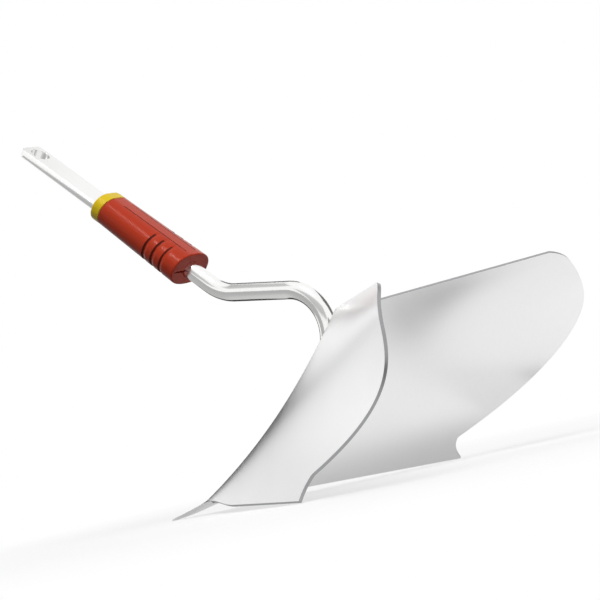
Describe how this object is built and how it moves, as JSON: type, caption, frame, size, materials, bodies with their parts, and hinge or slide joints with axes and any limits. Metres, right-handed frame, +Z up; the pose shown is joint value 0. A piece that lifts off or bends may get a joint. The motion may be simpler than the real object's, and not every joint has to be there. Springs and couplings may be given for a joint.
{
  "type": "garden ridger head",
  "caption": "Hand ridger head: a pressed steel blade with two swept wings and a pointed tongue, welded to a bent round bar that ends in a flat latch tang behind a moulded sleeve.",
  "frame": {"origin": "centre of the bounding box on the ground, where the tip of the tongue and the two heels of the wings stand", "axes": "+Z up; +X towards the open rear of the wings, the tang points up towards -X; Y = 0 is the mirror plane"},
  "size_m": [0.3394, 0.22, 0.2664],
  "materials": {
    "blade_steel": "pressed sheet steel with a bright satin polish",
    "bar_steel": "drawn steel bar, bright polish",
    "sleeve_red": "glossy brick-red moulding",
    "collar_yellow": "glossy yellow moulding",
    "weld_steel": "bare weld bead"
  },
  "bodies": {
    "root": {"blade": "blade_steel", "neck_bar": "bar_steel", "tang": "bar_steel", "sleeve_upper_shell": "sleeve_red", "sleeve_lower_shell": "sleeve_red", "collar_ring": "collar_yellow", "weld_left": "weld_steel", "weld_right": "weld_steel"}
  },
  "joints": []
}
